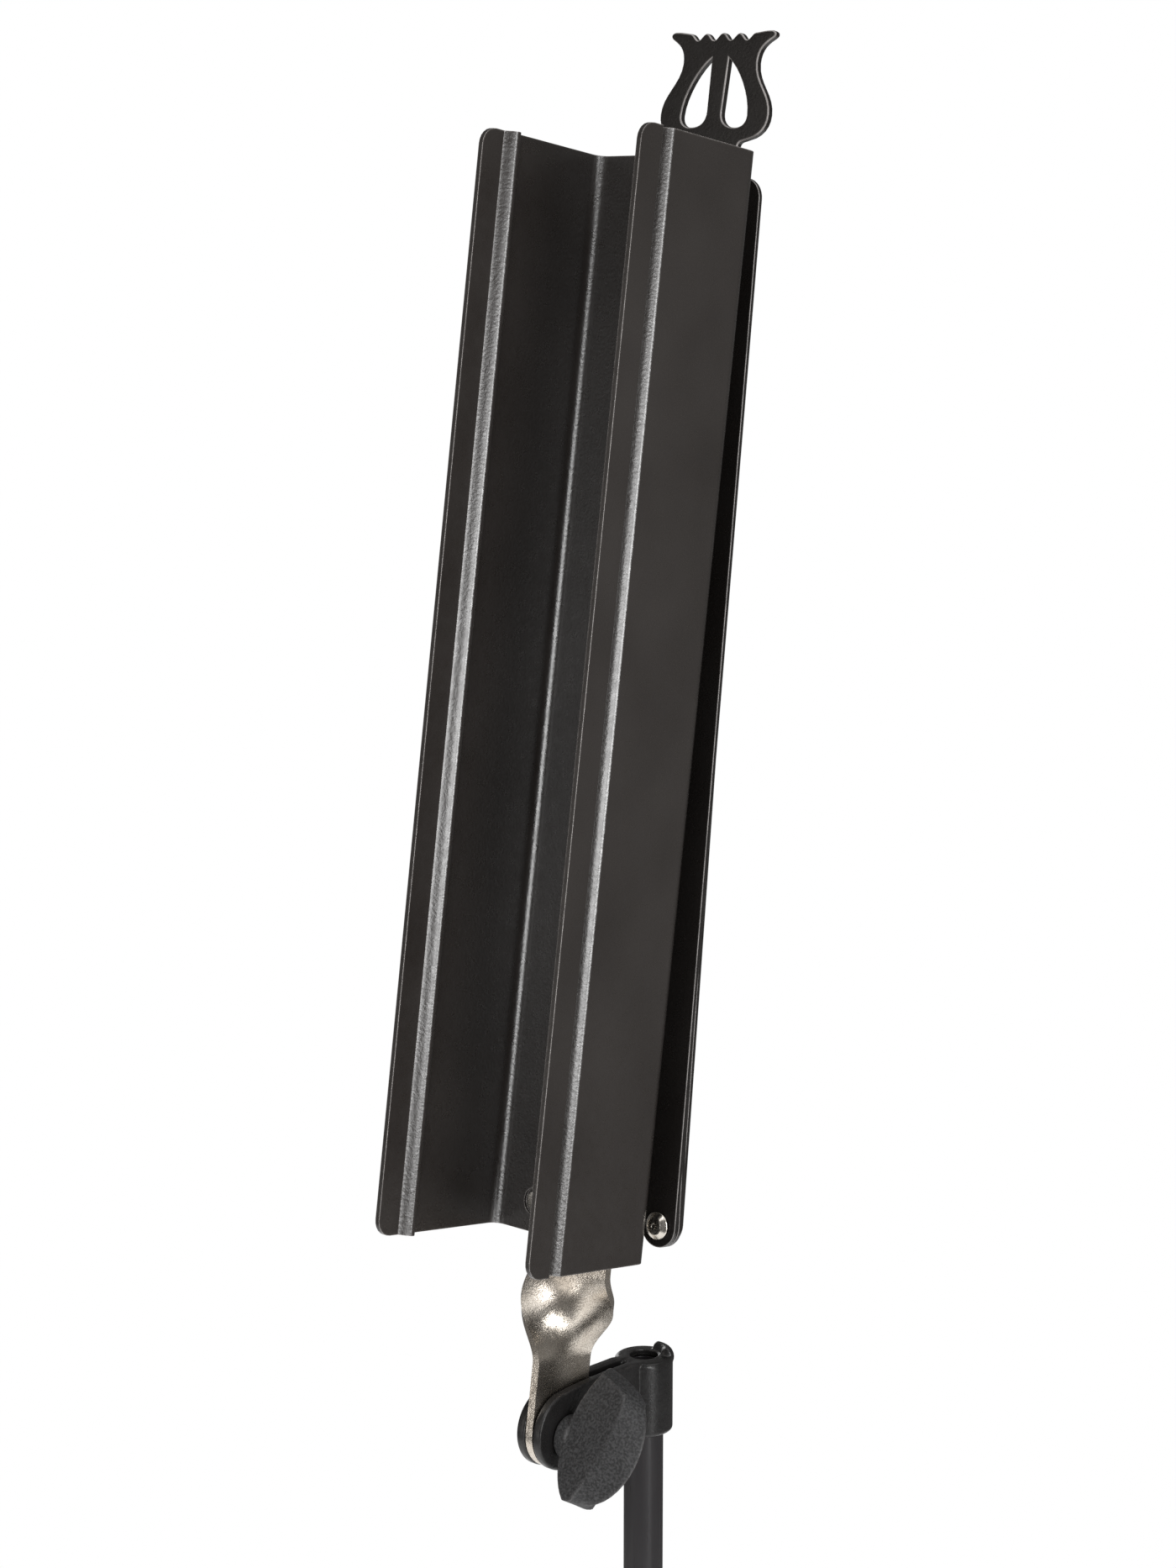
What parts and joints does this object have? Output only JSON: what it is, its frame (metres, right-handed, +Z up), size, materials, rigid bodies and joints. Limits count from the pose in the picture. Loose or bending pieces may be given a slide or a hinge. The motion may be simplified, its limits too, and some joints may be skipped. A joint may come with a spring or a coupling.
{
  "type": "folding music stand",
  "caption": "Folding music stand: sheet-steel desk with two fold-out ledges, hinged bars and a lyre top, on a tilting head, telescopic tube and tripod.",
  "frame": {"origin": "middle of the bounding box in plan, on the floor", "axes": "+Z up; the player sits on the -Y side; +X to the player's right; the desk leans back towards +Y"},
  "size_m": [0.5704, 0.494, 0.9597],
  "materials": {
    "black_coat": "satin powder coat",
    "nickel_plate": "nickel plated steel",
    "black_plastic": "fine grained",
    "rubber": "matt",
    "brass": "machined"
  },
  "bodies": {
    "base": {"base_tube": "black_coat", "base_tube_plug": "rubber", "leg_crown": "black_coat", "crown_screw": "nickel_plate", "leg_rivet_1": "nickel_plate", "leg_rivet_2": "nickel_plate", "leg_rivet_3": "nickel_plate", "lower_clamp": "black_coat", "lower_clamp_pad": "brass"},
    "leg_1": {"leg_1": "black_coat", "foot_1": "rubber"},
    "leg_2": {"leg_2": "black_coat", "foot_2": "rubber"},
    "leg_3": {"leg_3": "black_coat", "foot_3": "rubber"},
    "lower_clamp_grip": {"lower_clamp_screw": "nickel_plate", "lower_clamp_knob": "black_plastic"},
    "middle": {"middle_tube": "black_coat", "middle_tube_guide": "black_plastic", "upper_clamp": "black_coat", "upper_clamp_pad": "brass"},
    "upper_clamp_grip": {"upper_clamp_screw": "nickel_plate", "upper_clamp_knob": "black_plastic"},
    "rod": {"upper_rod": "black_coat", "upper_rod_guide": "black_plastic"},
    "head": {"tilt_head": "black_coat", "tilt_screw": "nickel_plate"},
    "tilt_grip": {"tilt_knob": "black_plastic", "tilt_knob_insert": "brass"},
    "desk": {"tilt_bracket": "nickel_plate", "lyre_bar": "black_coat", "bracket_rivet_lower": "nickel_plate", "bracket_rivet_upper": "nickel_plate", "ledge_rivet_left": "nickel_plate", "ledge_rivet_right": "nickel_plate", "arm_rivet": "nickel_plate", "arm_spacer": "nickel_plate"},
    "left_ledge": {"ledge_left": "black_coat"},
    "right_ledge": {"ledge_right": "black_coat"},
    "right_arm": {"arm_right": "black_coat", "side_rivet_right": "nickel_plate"},
    "left_arm": {"arm_left": "black_coat", "side_rivet_left": "nickel_plate"},
    "right_side_bar": {"side_bar_right": "black_coat"},
    "left_side_bar": {"side_bar_left": "black_coat"}
  },
  "joints": [
    {"name": "leg_fold_1", "type": "hinge", "parent": "base", "child": "leg_1", "pos_m": [0, 0.05411, 0.167], "axis": [1, 0, 0], "range_deg": [0, 58]},
    {"name": "leg_fold_2", "type": "hinge", "parent": "base", "child": "leg_2", "pos_m": [0.02079, 0.09011, 0.167], "axis": [-0.5, 0.866, 0], "range_deg": [0, 58]},
    {"name": "leg_fold_3", "type": "hinge", "parent": "base", "child": "leg_3", "pos_m": [-0.02079, 0.09011, 0.167], "axis": [-0.5, -0.866, 0], "range_deg": [0, 58]},
    {"name": "middle_tube_slide", "type": "slide", "parent": "base", "child": "middle", "axis": [0, 0, 1], "range_m": [-0.09, 0.1]},
    {"name": "lower_clamp_turn", "type": "hinge", "parent": "base", "child": "lower_clamp_grip", "pos_m": [0, 0.09811, 0.362], "axis": [0, 1, 0], "continuous": true},
    {"name": "upper_rod_slide", "type": "slide", "parent": "middle", "child": "rod", "axis": [0, 0, 1], "range_m": [-0.095, 0.1]},
    {"name": "upper_clamp_turn", "type": "hinge", "parent": "middle", "child": "upper_clamp_grip", "pos_m": [0, 0.09811, 0.492], "axis": [0, 1, 0], "continuous": true},
    {"name": "head_swivel", "type": "hinge", "parent": "rod", "child": "head", "pos_m": [0, 0.07811, 0.64], "axis": [0, 0, 1], "continuous": true},
    {"name": "tilt_knob_turn", "type": "hinge", "parent": "head", "child": "tilt_grip", "pos_m": [0, 0.04611, 0.64], "axis": [1, 0, 0], "continuous": true},
    {"name": "desk_tilt", "type": "hinge", "parent": "head", "child": "desk", "pos_m": [0, 0.04611, 0.64], "axis": [-1, 0, 0], "range_deg": [-20, 24]},
    {"name": "ledge_left_fold", "type": "hinge", "parent": "desk", "child": "left_ledge", "pos_m": [-0.011, 0.05194, 0.69191], "axis": [0, -0.9888, 0.1495], "range_deg": [0, 90]},
    {"name": "ledge_right_fold", "type": "hinge", "parent": "desk", "child": "right_ledge", "pos_m": [0.011, 0.05194, 0.69191], "axis": [0, 0.9888, -0.1495], "range_deg": [0, 90]},
    {"name": "arm_right_swing", "type": "hinge", "parent": "desk", "child": "right_arm", "pos_m": [0.00651, 0.09501, 0.92986], "axis": [0, -0.9888, 0.1495], "range_deg": [0, 86.42]},
    {"name": "arm_left_swing", "type": "hinge", "parent": "desk", "child": "left_arm", "pos_m": [0.00651, 0.09699, 0.92956], "axis": [0, 0.9888, -0.1495], "range_deg": [0, 93.11]},
    {"name": "side_bar_right_swing", "type": "hinge", "parent": "right_arm", "child": "right_side_bar", "pos_m": [0.0216, 0.05796, 0.69161], "axis": [0, -0.9888, 0.1495], "range_deg": [0, 92.15]},
    {"name": "side_bar_left_swing", "type": "hinge", "parent": "left_arm", "child": "left_side_bar", "pos_m": [0.0196, 0.06192, 0.69101], "axis": [0, 0.9888, -0.1495], "range_deg": [0, 89.16]}
  ]
}
